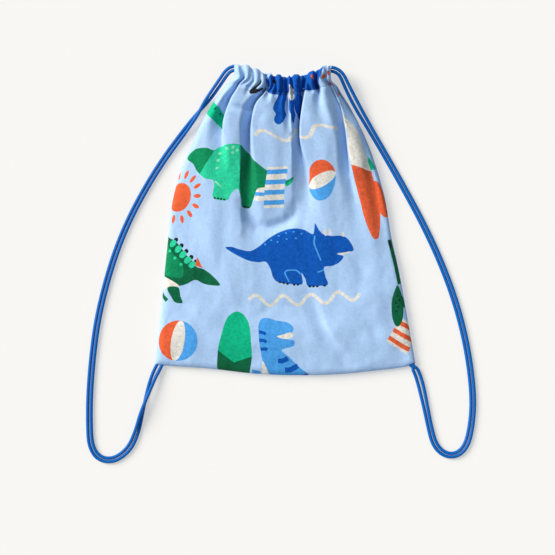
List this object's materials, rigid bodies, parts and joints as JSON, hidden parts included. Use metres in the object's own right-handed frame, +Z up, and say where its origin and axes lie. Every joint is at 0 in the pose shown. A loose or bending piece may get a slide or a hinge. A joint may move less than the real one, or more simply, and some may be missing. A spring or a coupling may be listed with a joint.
{
  "type": "drawstring backpack",
  "caption": "Child's drawstring backpack in thick printed towelling, its mouth gathered on doubled cords that run outside the bag to the bottom corners as shoulder straps.",
  "frame": {"origin": "on the surface the bag lies on, under the middle of the bag without its free cords", "axes": "+X to the right of the front panel, +Y from the bottom edge to the gathered mouth, +Z up out of the front panel; the bag lies flat on its back panel"},
  "size_m": [0.497, 0.5085, 0.028],
  "materials": {
    "towelling": "velour towelling, printed",
    "thread": "sewing thread",
    "label": "woven tape",
    "cord": "satin braid"
  },
  "bodies": {
    "bag": {"front_panel": "towelling", "back_panel": "towelling", "front_casing_facing": "towelling", "back_casing_facing": "towelling", "left_side_seam_allowance": "towelling", "right_side_seam_allowance": "towelling", "bottom_seam_allowance": "towelling", "front_left_opening_hem": "towelling", "front_right_opening_hem": "towelling", "back_left_opening_hem": "towelling", "back_right_opening_hem": "towelling", "front_casing_stitching": "thread", "back_casing_stitching": "thread", "left_corner_bartack": "thread", "right_corner_bartack": "thread", "care_label": "label", "left_cord_channel_run": "cord", "left_cord_front_tail": "cord", "left_cord_back_tail": "cord", "right_cord_channel_run": "cord", "right_cord_front_tail": "cord", "right_cord_back_tail": "cord"},
    "left_strap": {"left_cord_front_strand": "cord", "left_cord_back_strand": "cord"},
    "right_strap": {"right_cord_front_strand": "cord", "right_cord_back_strand": "cord"}
  },
  "joints": [
    {"name": "left_strap_swing", "type": "hinge", "parent": "bag", "child": "left_strap", "pos_m": [-0.0637, 0.1938, 0.015], "axis": [0.2471, 0.9686, 0.0278], "range_deg": [0, 90]},
    {"name": "right_strap_swing", "type": "hinge", "parent": "bag", "child": "right_strap", "pos_m": [0.059, 0.1942, 0.015], "axis": [0.2651, -0.9638, -0.0277], "range_deg": [0, 90]}
  ]
}
